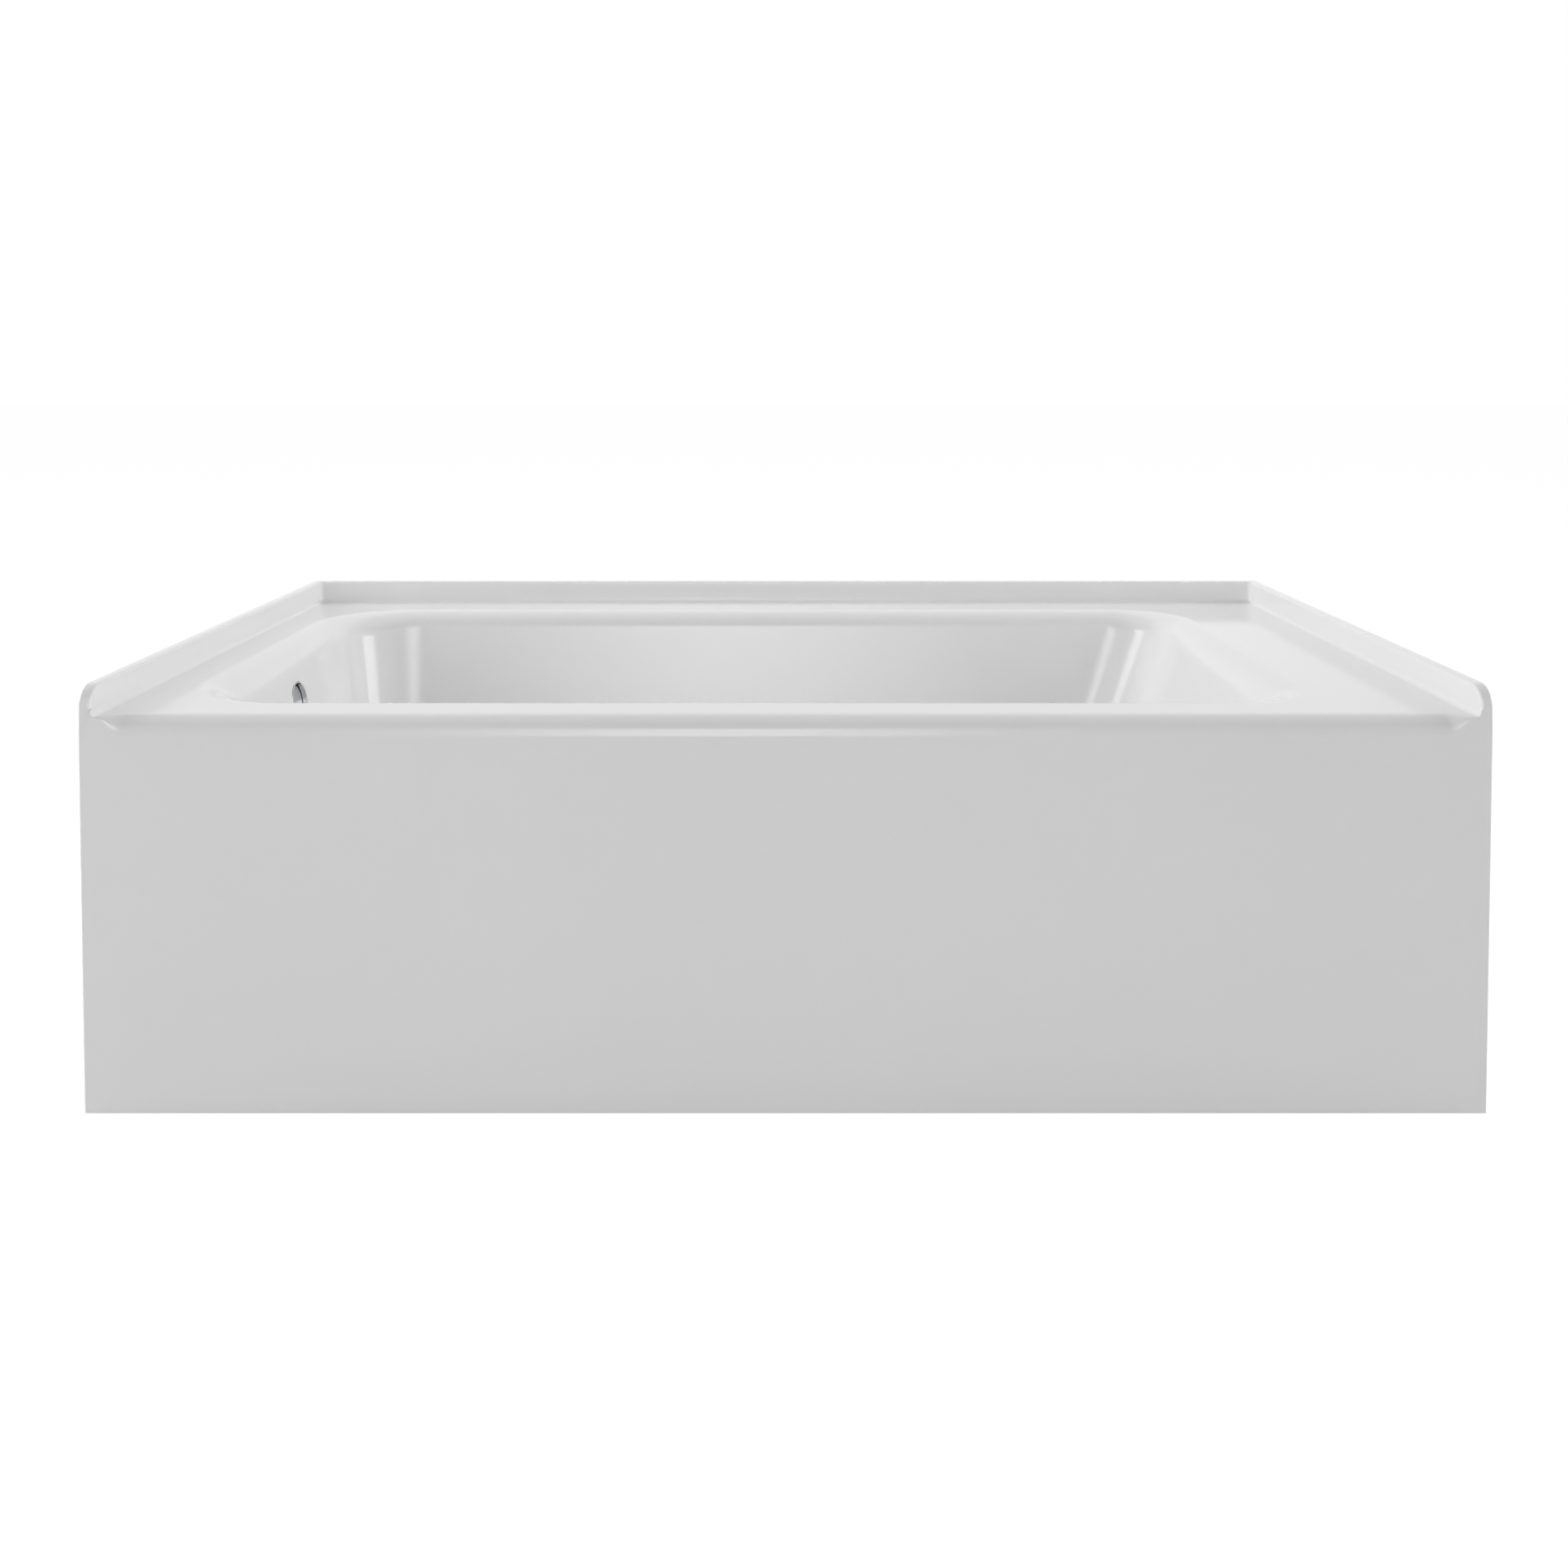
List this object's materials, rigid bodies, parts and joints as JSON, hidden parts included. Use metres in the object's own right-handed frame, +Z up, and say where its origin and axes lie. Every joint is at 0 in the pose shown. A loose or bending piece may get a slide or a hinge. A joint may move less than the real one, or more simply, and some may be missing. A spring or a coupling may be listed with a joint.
{
  "type": "alcove bathtub",
  "caption": "White acrylic alcove bathtub with a plain integral apron, raised tile flange on the other sides, sloped backrest, and a waste and overflow at one end.",
  "frame": {"origin": "on the floor under the middle of the tub's overall box", "axes": "+X along the tub away from the drain end, +Y from the apron to the back wall, +Z up"},
  "size_m": [1.524, 0.762, 0.46],
  "materials": {
    "white_acrylic": "polished white acrylic sheet",
    "fibreglass": "sprayed chopped-strand laminate, rough",
    "plywood": "unfinished plywood",
    "softwood": "sawn softwood",
    "galvanised_steel": "galvanised",
    "zinc_steel": "zinc plated",
    "pad_plastic": "moulded, fine grain",
    "chrome": "polished chrome",
    "brushed_cover": "satin plate",
    "rubber": "black rubber",
    "white_pvc": "moulded white pipe plastic",
    "brass": "turned brass"
  },
  "bodies": {
    "tub": {"tub_shell": "white_acrylic", "fibreglass_backing": "fibreglass", "base_board": "plywood", "left_channel": "galvanised_steel", "right_channel": "galvanised_steel", "channel_screws": "zinc_steel", "weld_nuts": "zinc_steel", "lock_nuts": "zinc_steel", "apron_batten": "softwood", "apron_stiffeners": "softwood", "overflow_ring": "chrome", "overflow_plate": "brushed_cover", "overflow_gasket": "rubber", "overflow_elbow": "white_pvc", "overflow_pipe": "white_pvc", "waste_tee": "white_pvc", "shoe_pipe": "white_pvc", "slip_nuts": "white_pvc", "slip_washers": "rubber", "drain_gasket": "rubber", "drain_shoe": "white_pvc", "drain_strainer": "chrome"},
    "stopper": {"stopper_cap": "chrome", "stopper_seal": "rubber", "stopper_stem": "brass"},
    "pad_front_left": {"pad_front_left": "pad_plastic"},
    "stud_front_left": {"stud_front_left": "zinc_steel"},
    "pad_front_right": {"pad_front_right": "pad_plastic"},
    "stud_front_right": {"stud_front_right": "zinc_steel"},
    "pad_back_left": {"pad_back_left": "pad_plastic"},
    "stud_back_left": {"stud_back_left": "zinc_steel"},
    "pad_back_right": {"pad_back_right": "pad_plastic"},
    "stud_back_right": {"stud_back_right": "zinc_steel"}
  },
  "joints": [
    {"name": "stopper_lift", "type": "slide", "parent": "tub", "child": "stopper", "axis": [0, 0, 1], "range_m": [0, 0.009]},
    {"name": "pad_front_left_travel", "type": "slide", "parent": "tub", "child": "pad_front_left", "axis": [0, 0, 1], "range_m": [-0.014, 0.007]},
    {"name": "stud_front_left_turn", "type": "hinge", "parent": "pad_front_left", "child": "stud_front_left", "pos_m": [-0.38832, -0.275, 0.02], "axis": [0, 0, 1], "range_deg": [-2885, 1445]},
    {"name": "pad_front_right_travel", "type": "slide", "parent": "tub", "child": "pad_front_right", "axis": [0, 0, 1], "range_m": [-0.014, 0.007]},
    {"name": "stud_front_right_turn", "type": "hinge", "parent": "pad_front_right", "child": "stud_front_right", "pos_m": [0.22204, -0.275, 0.02], "axis": [0, 0, 1], "range_deg": [-2885, 1445]},
    {"name": "pad_back_left_travel", "type": "slide", "parent": "tub", "child": "pad_back_left", "axis": [0, 0, 1], "range_m": [-0.014, 0.007]},
    {"name": "stud_back_left_turn", "type": "hinge", "parent": "pad_back_left", "child": "stud_back_left", "pos_m": [-0.38832, 0.275, 0.02], "axis": [0, 0, 1], "range_deg": [-2885, 1445]},
    {"name": "pad_back_right_travel", "type": "slide", "parent": "tub", "child": "pad_back_right", "axis": [0, 0, 1], "range_m": [-0.014, 0.007]},
    {"name": "stud_back_right_turn", "type": "hinge", "parent": "pad_back_right", "child": "stud_back_right", "pos_m": [0.22204, 0.275, 0.02], "axis": [0, 0, 1], "range_deg": [-2885, 1445]}
  ],
  "couplings": [
    {"joint": "stud_front_left_turn", "follows": "pad_front_left_travel", "rad_per_m": 3590.4},
    {"joint": "stud_front_right_turn", "follows": "pad_front_right_travel", "rad_per_m": 3590.4},
    {"joint": "stud_back_left_turn", "follows": "pad_back_left_travel", "rad_per_m": 3590.4},
    {"joint": "stud_back_right_turn", "follows": "pad_back_right_travel", "rad_per_m": 3590.4}
  ]
}
